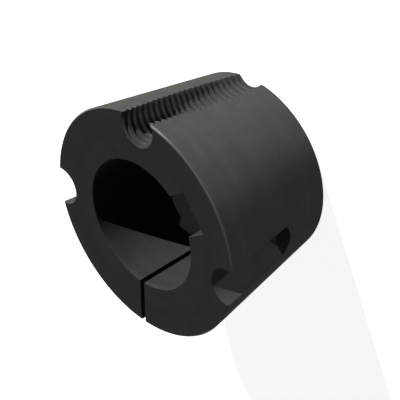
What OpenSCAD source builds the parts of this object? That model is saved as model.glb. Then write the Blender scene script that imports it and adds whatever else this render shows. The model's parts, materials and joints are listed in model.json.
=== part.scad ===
// Taper bush: a split iron cone that wedges a pulley or sprocket hub onto a shaft.
// It stands on its small end, with the bore upright and the threaded half hole towards +Y.
// It is made as the real one is: turned, bored, drilled, tapped, broached and sawn through.

/* [Taper] */
// Diameter of the large end, measured where the cone would meet the face
large_d = 35; // [34:0.5:50]
// Length from the small face to the large face
length = 22.2; // [18:0.1:26]
// Slope of the cone on each side of the axis, in degrees
half_taper = 8; // [2:0.5:9]
// Width of the broken edge round the large end
rim_break = 0.25; // [0.05:0.05:0.8]
// Width of the broken edge round the small end, which leads the bush into its hub
lead_break = 0.25; // [0.1:0.05:0.8]

/* [Bore] */
// Diameter of the shaft that the bush grips
bore_d = 20; // [12:0.5:22]
// Width of the keyway
key_w = 6; // [3:0.5:8]
// Depth of the keyway, from the top of the bore to its floor
key_depth = 2.8; // [1:0.1:3.5]
// Turn from the threaded half hole to the keyway, in degrees
key_turn = 55; // [45:1:70]
// Width of the saw cut that lets the bush close on the shaft
slit_w = 0.85; // [0.5:0.05:3]

/* [Clamping screw half holes] */
// Diameter of the two plain half holes
seat_d = 5.9; // [4:0.1:8]
// How far inside the large end's edge their centres lie
seat_inset = 0.7; // [0:0.1:2]
// Depth of their straight wall, from the large face
seat_depth = 12.8; // [8:0.1:16]
// Angle of the drill point that leaves their pointed bottom
drill_point = 118; // [90:1:135]
// Turn from the threaded half hole to each plain one, in degrees
seat_turn = 95; // [80:1:120]

/* [Jacking screw half hole] */
// Outer diameter of the thread
jack_d = 6; // [5:0.5:8]
// Pitch of the thread
jack_pitch = 1; // [0.8:0.05:1.5]
// Share of the thread's full depth that is left beside the tapping hole, in percent
engagement = 75; // [60:5:100]
// Turn of the thread about its own axis, in degrees, which sets where a groove opens
jack_turn = -70; // [-180:5:180]
// How far inside the large end's edge the thread's centre lies
jack_inset = 1.65; // [0.5:0.05:2.5]
// Angle of the countersinks that open both ends of the thread
mouth_angle = 90; // [60:5:120]

/* [Hidden] */
$fn = 96;

// How far a cutter runs past the face that it opens
over = 1;
bush_color = [0.17, 0.17, 0.17];

large_r = large_d / 2;
small_r = cone_r(0);
bore_r = bore_d / 2;
seat_r = seat_d / 2;

// Thread form: 60 degree flanks and a flat of an eighth of the pitch at the root of the
// groove. At its full depth the ridge between two turns keeps a flat of a quarter of the
// pitch, and a wider tapping hole leaves it lower and broader.
flank = 60;
root_half = jack_pitch / 16;
jack_r = jack_d / 2;
full_depth = (jack_pitch * 3 / 8 - root_half) / tan(flank / 2);
ridge_r = jack_r - full_depth * engagement / 100;
// The groove starts this far inside the tapping hole, so that the two cutters merge
merge = 0.1;
turn_steps = 24;

// Radius of the cone at a height above the small face
function cone_r(z) = large_r - (length - z) * tan(half_taper);

// Half of the groove's width at a radius from the thread's own axis
function groove_half(r) = root_half + (jack_r - r) * tan(flank / 2);

// The groove's section at one step of the helix, as four corners
function groove_ring(step) =
    let (
        angle = step * 360 / turn_steps,
        rise = step * jack_pitch / turn_steps,
        inner_r = ridge_r - merge,
        corners = [
            [inner_r, -groove_half(inner_r)],
            [jack_r, -root_half],
            [jack_r, root_half],
            [inner_r, groove_half(inner_r)]
        ]
    )
    [for (c = corners) [c.x * cos(angle), c.x * sin(angle), rise + c.y]];

// The turned cone with both of its edges broken
module blank() {
    rotate_extrude()
        polygon([
            [0, 0],
            [small_r - lead_break, 0],
            [cone_r(lead_break), lead_break],
            [cone_r(length - rim_break), length - rim_break],
            [large_r - rim_break, length],
            [0, length]
        ]);
}

// The bore for the shaft
module bore() {
    translate([0, 0, -over])
        cylinder(r = bore_r, h = length + 2 * over);
}

// The broached keyway, square to the bore and as long as the bush
module keyway() {
    rotate(90 - key_turn)
        translate([0, -key_w / 2, -over])
            cube([bore_r + key_depth, key_w, length + 2 * over]);
}

// The saw cut through the wall, opposite the threaded half hole
module slit() {
    translate([-slit_w / 2, -large_r - over, -over])
        cube([slit_w, large_r + over, length + 2 * over]);
}

// A drilled hole with a pointed bottom; z = 0 is where its straight wall ends
module drilled_hole(r, depth) {
    point_h = r / tan(drill_point / 2);
    rotate_extrude()
        polygon([[0, -point_h], [r, 0], [r, depth + over], [0, depth + over]]);
}

// The two plain half holes, which the clamping screws press on
module screw_seats() {
    for (side = [-1, 1])
        rotate(90 + side * seat_turn)
            translate([large_r - seat_inset, 0, length - seat_depth])
                drilled_hole(seat_r, seat_depth);
}

// The thread's groove, a four-sided bar swept up a right-hand helix
module thread_groove() {
    steps = ceil((length / jack_pitch + 2) * turn_steps);
    points = [for (step = [0:steps]) each groove_ring(step)];
    corners = len(groove_ring(0));
    // Two triangles for each side of each step
    sides = [
        for (step = [0:steps - 1], c = [0:corners - 1])
            let (
                a = step * corners + c,
                b = step * corners + (c + 1) % corners
            )
            each [[a, b, b + corners], [a, b + corners, a + corners]]
    ];
    first = [for (c = [0:corners - 1]) corners - 1 - c];
    last = [for (c = [0:corners - 1]) steps * corners + c];
    rotate(jack_turn)
        translate([0, 0, -jack_pitch])
            polyhedron(points = points, faces = concat(sides, [first, last]));
}

// The countersink at one mouth of the thread, with its wide end past the face at z = 0
module thread_mouth() {
    mouth_h = (jack_r - ridge_r) / tan(mouth_angle / 2);
    translate([0, 0, -mouth_h])
        cylinder(r1 = ridge_r, r2 = ridge_r + (mouth_h + over) * tan(mouth_angle / 2), h = mouth_h + over);
}

// The tapped half hole, right through, where a screw jacks the bush out of its hub
module jacking_thread() {
    translate([0, large_r - jack_inset, 0]) {
        translate([0, 0, -over])
            cylinder(r = ridge_r, h = length + 2 * over);
        thread_groove();
        translate([0, 0, length])
            thread_mouth();
        mirror([0, 0, 1])
            thread_mouth();
    }
}

module taper_bush() {
    color(bush_color)
        difference() {
            blank();
            bore();
            keyway();
            slit();
            screw_seats();
            jacking_thread();
        }
}

taper_bush();
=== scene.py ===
# %% [markdown]
# A taper bush is a small split cone of iron. It slides over a shaft, and screws press it into
# a matching cone in the hub of a pulley, so that it closes on the shaft and grips it.
# The whole bush is one casting that was turned, bored, drilled, tapped, broached and sawn, and
# then blackened. So there is one solid to dress, and its looks come from how each face was cut.

# %% Load the bush as a fixed frame
import json
import math

import bpy
from mathutils import Matrix, Vector


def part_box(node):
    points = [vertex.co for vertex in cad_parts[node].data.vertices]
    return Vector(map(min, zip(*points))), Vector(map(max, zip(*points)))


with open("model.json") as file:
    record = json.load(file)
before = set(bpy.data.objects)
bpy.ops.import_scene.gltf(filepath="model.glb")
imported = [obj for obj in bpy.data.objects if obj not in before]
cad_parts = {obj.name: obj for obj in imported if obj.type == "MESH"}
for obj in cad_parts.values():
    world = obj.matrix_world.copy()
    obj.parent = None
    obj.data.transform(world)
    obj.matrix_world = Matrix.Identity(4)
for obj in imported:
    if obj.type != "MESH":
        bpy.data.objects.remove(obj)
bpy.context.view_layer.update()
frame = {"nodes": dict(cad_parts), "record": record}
bush = frame["nodes"]["taper_bush"]
scene = bpy.context.scene
MM = 0.001

low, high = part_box("taper_bush")
print("bush", [round(side / MM, 2) for side in high - low], "mm,", len(bush.data.polygons), "faces")

# %% [markdown]
# The bush stands on its small end, because it would roll away on its side. The picture looks
# along the diagonal of its three axes, as an isometric drawing does, but with +Y upwards. So
# the camera is turned until +Y points up the picture, and the bush seems to lie down. Its lens
# and distance come from the outlines of both ends: from closer by, the near end would look
# larger beside the far one.

# %% Camera on the isometric diagonal
TO_CAMERA = Vector((1, 1, 1)).normalized()
PICTURE_RIGHT = Vector((1, 0, -1)).normalized()
PICTURE_UP = TO_CAMERA.cross(PICTURE_RIGHT)
IMAGE_SIDE = 400
SENSOR = 36
FOCAL_PIXELS = 1175.9
CAMERA_DISTANCE = 162.26 * MM
AIM_RIGHT = 8.266 * MM
AIM_UP = 3.491 * MM
NEAR_LIMIT = 0.01
FAR_LIMIT = 10

aim = Vector((0, 0, high.z)) + AIM_RIGHT * PICTURE_RIGHT + AIM_UP * PICTURE_UP
camera = bpy.data.objects.new("camera", bpy.data.cameras.new("camera"))
scene.collection.objects.link(camera)
scene.camera = camera
turned = Matrix((PICTURE_RIGHT, PICTURE_UP, TO_CAMERA)).transposed().to_4x4()
camera.matrix_world = Matrix.Translation(aim + CAMERA_DISTANCE * TO_CAMERA) @ turned
camera.data.sensor_width = SENSOR
camera.data.lens = FOCAL_PIXELS * SENSOR / IMAGE_SIDE
camera.data.clip_start = NEAR_LIMIT
camera.data.clip_end = FAR_LIMIT
print("camera lens", round(camera.data.lens, 1), "mm, at", [round(c, 3) for c in camera.location])

# %% [markdown]
# A lamp is placed by the direction that its light comes from, so the helpers come first: one
# works out a direction, one hangs a lamp that shines from there, and one makes that lamp a sun.
# A sun of strength pi, held square to a face, shows the face's colour as it is written, so
# strengths are in that unit.

# %% Helpers for lamps
PLAIN_LEVEL = math.pi


def direction(turn, height):
    """The direction to a lamp, from its turn round the bush and its height, in degrees."""
    turn, height = math.radians(turn), math.radians(height)
    flat = math.cos(height)
    return Vector((math.cos(turn) * flat, math.sin(turn) * flat, math.sin(height)))


def lamp(kind, name, towards, colour):
    """A lamp whose light comes from the direction towards."""
    made = bpy.data.objects.new(name, bpy.data.lights.new(name, kind))
    scene.collection.objects.link(made)
    made.rotation_mode = "QUATERNION"
    made.rotation_quaternion = towards.to_track_quat("Z", "Y")
    made.data.color = colour
    return made


def sun(name, towards, strength, softness, colour):
    """A sun, whose softness in degrees blurs the edges of its shadows."""
    made = lamp("SUN", name, towards, colour)
    made.data.energy = strength * PLAIN_LEVEL
    made.data.angle = math.radians(softness)
    print(name, "has", strength, "of the plain level")


# %% [markdown]
# The main lamps are suns, which light every point from one direction, so each can be placed by
# the edge of the shadow that it throws. The key light comes over the camera's left shoulder,
# and its shadow cuts the bore in two. The top light rounds off the cone, and the back light
# comes from behind the small end and picks out the ridges of the thread. The right light is a
# weak one for the dark side. A rear light, which the picture doesn't show, keeps the far side
# from going black.

# %% Suns
KEY_COLOUR = (1, 0.985, 0.975)
WARM = (0.985, 1, 0.89)
over_left_shoulder = TO_CAMERA + PICTURE_UP - PICTURE_RIGHT
sun("key_light", over_left_shoulder, strength=1.35, softness=0.5, colour=KEY_COLOUR)
sun("top_light", direction(120, 0), strength=1.04, softness=6, colour=WARM)
sun("back_light", direction(54, -24), strength=0.34, softness=0.5, colour=WARM)
sun("right_light", direction(22, 0), strength=0.125, softness=3, colour=WARM)
sun("rear_light", direction(240, -8), strength=0.55, softness=20, colour=KEY_COLOUR)

# %% [markdown]
# The far half of the thread is brighter in the picture than the suns leave it. Another sun
# would light the whole bush, so a narrow spot is aimed at the middle of the thread instead.
# It lights the cone beside the thread a little too, but the wall keeps it out of the bore. A
# lamp at a point spreads its power over a sphere, so its power is its level times the area of
# the sphere that the thread lies on.

# %% Spot along the thread
SPOT_AWAY = 150 * MM
SPOT_REACH = 12 * MM
SPOT_SIZE = 2 * MM
SPOT_LEVEL = 0.2
SPOT_AIM_Y = 16 * MM
from_the_right = direction(25, 0)
spot = lamp("SPOT", "thread_spot", from_the_right, WARM)
spot.location = Vector((0, SPOT_AIM_Y, high.z / 2)) + SPOT_AWAY * from_the_right
spot.data.energy = SPOT_LEVEL * PLAIN_LEVEL * 4 * math.pi * SPOT_AWAY ** 2
spot.data.spot_size = 2 * math.atan(SPOT_REACH / SPOT_AWAY)
spot.data.spot_blend = 1
spot.data.shadow_soft_size = SPOT_SIZE
print("spot of", round(spot.data.energy, 3), "W lights", SPOT_REACH / MM, "mm round its aim")

# %% [markdown]
# Every finish below is a small network of nodes. A few helpers keep them short: one fills a
# socket, one adds a node, one does a step of arithmetic, one blends two colours or values, one
# starts a node group and one places it. A group is built once and can then be used in any
# material, with values of its own.

# %% Helpers for nodes


def fill(tree, socket, value):
    """Link the value if it is another node's socket, and otherwise set it."""
    if isinstance(value, bpy.types.NodeSocket):
        tree.links.new(value, socket)
    else:
        socket.default_value = value


def add(tree, kind, values=None, **settings):
    """A new node with some of its sockets filled and its settings chosen."""
    node = tree.nodes.new("ShaderNode" + kind)
    for name, setting in settings.items():
        setattr(node, name, setting)
    for name, value in (values or {}).items():
        fill(tree, node.inputs[name], value)
    return node


def calc(tree, operation, *values):
    """The result of one step of arithmetic."""
    return add(tree, "Math", dict(enumerate(values)), operation=operation).outputs[0]


# Where the Mix node keeps the first of its two inputs, and its output, for each kind of value
MIX_INPUT = {"FLOAT": 2, "RGBA": 6}
MIX_OUTPUT = {"FLOAT": 0, "RGBA": 2}


def blend(tree, factor, kind, one, two):
    """Two colours or two values mixed, from the first where the factor is 0 to the second."""
    first = MIX_INPUT[kind]
    mixed = add(tree, "Mix", {"Factor": factor, first: one, first + 1: two}, data_type=kind)
    return mixed.outputs[MIX_OUTPUT[kind]]


def group(name, inputs, outputs):
    """A new node group of number sockets, with its tree, its inputs and its outputs."""
    tree = bpy.data.node_groups.new(name, "ShaderNodeTree")
    for side, labels in (("INPUT", inputs), ("OUTPUT", outputs)):
        for label in labels:
            tree.interface.new_socket(label, in_out=side, socket_type="NodeSocketFloat")
    print("group", name, "makes", ", ".join(outputs))
    return tree, tree.nodes.new("NodeGroupInput").outputs, tree.nodes.new("NodeGroupOutput").inputs


def use(tree, made, **values):
    """A node group placed in a tree, with values of its own."""
    placed = add(tree, "Group", node_tree=made)
    for label, value in values.items():
        fill(tree, placed.inputs[label], value)
    return placed.outputs


# %% [markdown]
# Each face of the bush was cut by another tool, so the finish has to know where it is. The
# bush is round and its sizes are known, so the place can be worked out from the coordinates
# alone: whether a point is on a flat end, on the broken edge round each end, in the keyway or
# in the thread. This needs no painting by hand, and it fits the solid closely. The sizes that
# other parts fit come from the record, and the rest are repeated here.

# %% Sizes of the bush's faces, in millimetres
mounts = {mount["name"]: mount for mount in frame["record"]["mounts"]}
LENGTH = (high.z - low.z) / MM
BORE_R = mounts["bore"]["dims"]["r_mm"]
THREAD_R = mounts["jacking_thread"]["dims"]["r_mm"]
THREAD_Y = mounts["jacking_thread"]["pos_m"][1] / MM
# Where the cone would meet the large face, without its broken edge
LARGE_R = 17.5
SLOPE = math.tan(math.radians(8))
EDGE_BREAK = 0.25
# The keyway points this far round from +X, and its floor is flat
KEY_TURN = math.radians(35)
KEY_WIDTH = 6
KEY_FLOOR = BORE_R + 2.8
# The mesh is made of flat triangles, so a point may lie this far off the true face
SKIN = 0.02
CONE_SKIN = 0.08
print("bush", LARGE_R, "mm radius, bore", BORE_R, "mm, thread at", round(THREAD_Y, 2), "mm")

# %% Group that tells where on the bush a point is
PLACES = ["Face", "Edge", "Keyway", "Thread", "Radius", "Height", "Across"]
bush_place, _, out = group("bush_place", [], PLACES)
coordinates = add(bush_place, "TexCoord").outputs["Object"]
in_mm = add(bush_place, "VectorMath", {"Vector": coordinates, "Scale": 1 / MM}, operation="SCALE")
x, y, z = add(bush_place, "SeparateXYZ", {"Vector": in_mm.outputs["Vector"]}).outputs


def both(*masks):
    """Where all the masks are on."""
    shared = masks[0]
    for mask in masks[1:]:
        shared = calc(bush_place, "MULTIPLY", shared, mask)
    return shared


def without(mask):
    """Where the mask is off."""
    return calc(bush_place, "SUBTRACT", 1, mask)


def less(value, limit):
    """Where the value is below the limit."""
    return calc(bush_place, "LESS_THAN", value, limit)


def more(value, limit):
    """Where the value is above the limit."""
    return calc(bush_place, "GREATER_THAN", value, limit)


def unsigned(value):
    """The value without its sign."""
    return calc(bush_place, "ABSOLUTE", value)


def from_axis(centre_y):
    """The distance from an upright axis that meets the Y axis."""
    along_y = calc(bush_place, "SUBTRACT", y, centre_y)
    squares = [calc(bush_place, "MULTIPLY", side, side) for side in (x, along_y)]
    return calc(bush_place, "SQRT", calc(bush_place, "ADD", *squares))


def along(turn):
    """How far a point lies from the axis in the direction of a turn round the bush."""
    part_x = calc(bush_place, "MULTIPLY", x, math.cos(turn))
    return calc(bush_place, "MULTIPLY_ADD", y, math.sin(turn), part_x)


# %% [markdown]
# The masks are found one after another, and each takes what the ones before it left. The flat
# ends come first, then the two broken edges and the cone, and then the bore. What is left lies
# in a cut through the wall, and there the keyway and the thread are told by their sizes.

# %% Masks of the bush's faces
radius = from_axis(0)
cone_radius = calc(bush_place, "MULTIPLY_ADD", z, SLOPE, LARGE_R - LENGTH * SLOPE)
below_cone = calc(bush_place, "SUBTRACT", cone_radius, radius)
from_middle = unsigned(calc(bush_place, "SUBTRACT", z, LENGTH / 2))
near_end = more(from_middle, LENGTH / 2 - EDGE_BREAK)

face = more(from_middle, LENGTH / 2 - SKIN)
wall = without(face)
edge = both(wall, near_end, less(below_cone, EDGE_BREAK + SKIN))
cone = both(wall, without(near_end), less(below_cone, CONE_SKIN))
inside = both(wall, without(calc(bush_place, "MAXIMUM", cone, edge)))
cut = both(inside, more(radius, BORE_R + SKIN))

key_along = along(KEY_TURN)
key_across = along(KEY_TURN + math.pi / 2)
keyway = both(cut, less(unsigned(key_across), KEY_WIDTH / 2 + SKIN), more(key_along, 0),
              less(key_along, KEY_FLOOR + SKIN))
thread = both(cut, less(from_axis(THREAD_Y), THREAD_R + SKIN))
# The walls lie at one distance across and the floor at one distance along, so the sum grows
# on both of them
across = calc(bush_place, "ADD", key_across, key_along)
for name, value in zip(PLACES, (face, edge, keyway, thread, radius, z, across)):
    fill(bush_place, out[name], value)
print("bush_place has", len(bush_place.nodes), "nodes")

# %% [markdown]
# A lathe tool leaves a fine spiral. On the cone and in the bore it climbs with the height, and
# on the flat ends it grows with the radius. The broach leaves lines along its cut. All of them
# are lines at an even feed that vary in depth, so one group makes them all from the distance
# across the lines. Noise in one dimension gives lines that never repeat, as the chips of a
# real cut do, where a plain wave would look printed.

# %% Group for the marks of a cutting tool
MARK_DETAIL = 1
tool_marks, given, out = group("tool_marks", ["Distance", "Feed", "Wander"], ["Fine", "Broad"])
for label, spacing in (("Fine", given["Feed"]), ("Broad", given["Wander"])):
    steps = calc(tool_marks, "DIVIDE", given["Distance"], spacing)
    lines = add(tool_marks, "TexNoise", {"W": steps, "Scale": 1, "Detail": MARK_DETAIL},
                noise_dimensions="1D")
    fill(tool_marks, out[label], lines.outputs["Fac"])
print("tool_marks has", len(tool_marks.nodes), "nodes")

# %% [markdown]
# The black is taken for a phosphate coat, and not for paint. Such a coat is a skin of dull
# crystals that the iron grows in a hot bath. It has a grain far finer than the eye can count,
# which spreads the light and leaves no gloss, and a cloudy unevenness a few millimetres
# across. Two noises give the two scales. The group is also used for the paper under the
# bush, with values of its own.

# %% Group for a fine grain with a cloudy unevenness
GRAIN_DETAIL = 3
CLOUD_DETAIL = 4
fine_grain, given, out = group("fine_grain", ["Grain", "Cloud"], ["Grains", "Clouds"])
coordinates = add(fine_grain, "TexCoord").outputs["Object"]
for label, spacing, detail in (("Grains", given["Grain"], GRAIN_DETAIL),
                               ("Clouds", given["Cloud"], CLOUD_DETAIL)):
    scale = calc(fine_grain, "DIVIDE", 1 / MM, spacing)
    noise = add(fine_grain, "TexNoise", {"Vector": coordinates, "Scale": scale, "Detail": detail})
    fill(fine_grain, out[label], noise.outputs["Fac"])
print("fine_grain has", len(fine_grain.nodes), "nodes")

# %% [markdown]
# Where the bush is handled and driven in, its sharp edges lose a little of the black and shine
# through. An edge that stands out can be told from inside the metal: rays sent inwards soon
# meet the next face there, and go on in a flat place or a hollow. The ambient occlusion node
# does that with its Inside setting. A cloud breaks up the line, so that it isn't even.

# %% Group for the wear along sharp edges
WEAR_RAYS = 8
MEAN_CLOUD = 0.5
WEAR_STARTS = 0.15
WEAR_FULL = 0.6
edge_wear, given, out = group("edge_wear", ["Width", "Clouds"], ["Wear"])
reach = calc(edge_wear, "MULTIPLY", given["Width"], MM)
near_edge = add(edge_wear, "AmbientOcclusion", {"Distance": reach}, inside=True,
                only_local=True, samples=WEAR_RAYS)
raw = calc(edge_wear, "SUBTRACT", 1, near_edge.outputs["AO"])
cloudy = calc(edge_wear, "MULTIPLY", raw, calc(edge_wear, "DIVIDE", given["Clouds"], MEAN_CLOUD))
worn = add(edge_wear, "MapRange", {"Value": cloudy, "From Min": WEAR_STARTS, "From Max": WEAR_FULL},
           interpolation_type="SMOOTHSTEP")
fill(edge_wear, out["Wear"], worn.outputs["Result"])
print("edge_wear has", len(edge_wear.nodes), "nodes")

# %% [markdown]
# Now the groups come together on one shader. First the patterns are laid out. The crystals
# and clouds are the same all over, but the tool's lines run as rings on the flat ends,
# lengthwise in the keyway and level round the bush elsewhere. The lines are as far apart as a
# lathe tool moves in one turn.

# %% Black iron: its patterns
CRYSTAL = 0.08
CLOUD = 3
TOOL_FEED = 0.15
TOOL_WANDER = 2.5

iron = bpy.data.materials.new("blackened_iron")
iron.use_nodes = True
tree = iron.node_tree
shader = tree.nodes["Principled BSDF"]
at = use(tree, bush_place)
grain = use(tree, fine_grain, Grain=CRYSTAL, Cloud=CLOUD)

distance = blend(tree, at["Face"], "FLOAT", at["Height"], at["Radius"])
distance = blend(tree, at["Keyway"], "FLOAT", distance, at["Across"])
marks = use(tree, tool_marks, Distance=distance, Feed=TOOL_FEED, Wander=TOOL_WANDER)
print("tool marks", TOOL_FEED, "mm apart, crystals", CRYSTAL, "mm")

# %% [markdown]
# The coat has the colour of the record. Both ends get a darker and cooler tint, which is painted
# shade: the lamps alone would leave the large end lighter. Each pattern then lightens the colour
# in some places and darkens it in others, about evenly, so that the surface keeps its colour
# on the whole.

# %% Black iron: its colour, with painted shade on the ends
COAT = (0.045, 0.046, 0.044)
# Painted shade: the ends take this share of the coat's colour, darker and cooler
END_SHADE_TINT = (0.575, 0.63, 0.63)
# How far the colour goes from each pattern's lowest value to its highest
CLOUD_SPAN = 0.38
BROAD_SPAN = 0.3
FINE_SPAN = 0.5
GRAIN_SPAN = 0.5

level = 1
for pattern, span in ((grain["Clouds"], CLOUD_SPAN), (marks["Broad"], BROAD_SPAN),
                      (marks["Fine"], FINE_SPAN), (grain["Grains"], GRAIN_SPAN)):
    level = calc(tree, "MULTIPLY", level, calc(tree, "MULTIPLY_ADD", pattern, span, 1 - span / 2))
# The colour of the ends carries the painted shade
shaded_end = tuple(coat * tint for coat, tint in zip(COAT, END_SHADE_TINT))
plain = blend(tree, at["Face"], "RGBA", COAT + (1,), shaded_end + (1,))
coat = add(tree, "VectorMath", {0: plain, "Scale": level}, operation="SCALE").outputs["Vector"]
print("coat", COAT, "and on the ends", [round(part, 4) for part in shaded_end])

# %% [markdown]
# The broken edge at each end is rubbed smooth by the hub and by hands, and there the thin coat
# lets a little of the iron shine through. It is smoother than the coat, so it catches a bright
# streak of the key light. The sharp edges get a trace of the same finish, but not the thread,
# whose ridges no hand reaches.

# %% Black iron: its rubbed edges
RUBBED = (0.058, 0.059, 0.056)
RUBBED_ROUGH = 0.28
RUBBED_METAL = 0.07
COAT_ROUGH = 0.8
ROUGH_SPAN = 0.1
WEAR_WIDTH = 0.12
WEAR_SHARE = 0.4

wear = use(tree, edge_wear, Width=WEAR_WIDTH, Clouds=grain["Clouds"])["Wear"]
share = calc(tree, "MULTIPLY_ADD", at["Thread"], -WEAR_SHARE, WEAR_SHARE)
rubbed = calc(tree, "MAXIMUM", at["Edge"], calc(tree, "MULTIPLY", wear, share))
rough = calc(tree, "MULTIPLY_ADD", grain["Clouds"], ROUGH_SPAN, COAT_ROUGH - ROUGH_SPAN / 2)
fill(tree, shader.inputs["Base Color"], blend(tree, rubbed, "RGBA", coat, RUBBED + (1,)))
fill(tree, shader.inputs["Roughness"], blend(tree, rubbed, "FLOAT", rough, RUBBED_ROUGH))
fill(tree, shader.inputs["Metallic"], calc(tree, "MULTIPLY", rubbed, RUBBED_METAL))
print("edges worn", WEAR_WIDTH, "mm wide")

# %% [markdown]
# Last come the depths of the marks and of the crystals, as two bumps, the second on top of the
# first. The dry crystals mirror next to nothing, so the gloss is set very low. It is the same
# all over, so it is set on the shader's own socket.

# %% Black iron: its bumps and its gloss
MARK_DEPTH = 0.016 * MM
CRYSTAL_DEPTH = 0.01 * MM
COAT_GLOSS = 0.02

marked = add(tree, "Bump", {"Height": marks["Fine"], "Distance": MARK_DEPTH})
grained = add(tree, "Bump", {"Height": grain["Grains"], "Distance": CRYSTAL_DEPTH,
                             "Normal": marked.outputs["Normal"]})
fill(tree, shader.inputs["Normal"], grained.outputs["Normal"])
shader.inputs["Specular IOR Level"].default_value = COAT_GLOSS
bush.data.materials.clear()
bush.data.materials.append(iron)
print("blackened_iron has", len(tree.nodes), "nodes")

# %% [markdown]
# The photo has no floor, only white. A white floor would throw light up onto the black bush,
# more than the photo shows. So the world and the paper are white where the camera looks, and
# in what the iron mirrors, and nearly dark to all other light. The Light Path node can tell
# these apart.

# %% White world
WORLD_FILL = 0.01


def seen_or_not(tree, seen, otherwise):
    """One value for the camera, mirror images and glass, and another for all other light."""
    path = add(tree, "LightPath")
    direct = path.outputs["Is Camera Ray"]
    for kind in ("Is Glossy Ray", "Is Transmission Ray"):
        direct = calc(tree, "MAXIMUM", direct, path.outputs[kind])
    limits = {"Value": direct, "To Min": otherwise, "To Max": seen}
    return add(tree, "MapRange", limits).outputs["Result"]


world = bpy.data.worlds.new("studio")
scene.world = world
world.use_nodes = True
background = world.node_tree.nodes["Background"]
background.inputs["Color"].default_value = (1, 1, 1, 1)
fill(world.node_tree, background.inputs["Strength"], seen_or_not(world.node_tree, 1, WORLD_FILL))
scene.view_settings.view_transform = "Standard"
print("world", scene.world.name, "lights the bush with", WORLD_FILL)

# %% [markdown]
# The floor is a sheet of paper under the small end. It casts no shadow, because the back light
# comes from below it, but the bush still casts one on it. Its white is mostly a glow, and the
# rest of its light comes from the lamps, so that the shadow shows. From below the paper is
# clear, so that it doesn't hide the small end.

# %% Paper floor
FLOOR_SIDE = 4.0
PAPER_GLOW = 0.9
PAPER_FILL = 0.08
PAPER_SHADE = 0.8
PAPER_CLOUD_SPAN = 0.02
PAPER_FIBRE = 0.4
PAPER_CLOUD = 12
FIBRE_DEPTH = 0.005 * MM

bpy.ops.mesh.primitive_plane_add(size=FLOOR_SIDE, location=(0, 0, low.z))
floor = bpy.context.object
floor.name = "floor"
floor.visible_shadow = False

paper = bpy.data.materials.new("pale_paper")
paper.use_nodes = True
tree = paper.node_tree
shader = tree.nodes["Principled BSDF"]
fibres = use(tree, fine_grain, Grain=PAPER_FIBRE, Cloud=PAPER_CLOUD)
shade = calc(tree, "MULTIPLY_ADD", fibres["Clouds"], PAPER_CLOUD_SPAN, PAPER_SHADE)
lit = calc(tree, "MULTIPLY", shade, seen_or_not(tree, 1, PAPER_FILL))
bump = add(tree, "Bump", {"Height": fibres["Grains"], "Distance": FIBRE_DEPTH})
from_below = add(tree, "NewGeometry").outputs["Backfacing"]
fill(tree, shader.inputs["Base Color"], lit)
fill(tree, shader.inputs["Normal"], bump.outputs["Normal"])
fill(tree, shader.inputs["Emission Strength"], seen_or_not(tree, PAPER_GLOW, 0))
fill(tree, shader.inputs["Alpha"], calc(tree, "SUBTRACT", 1, from_below))
shader.inputs["Emission Color"].default_value = (1, 1, 1, 1)
shader.inputs["Roughness"].default_value = 1
floor.data.materials.append(paper)
print("floor", FLOOR_SIDE, "m across at height", round(low.z, 4))
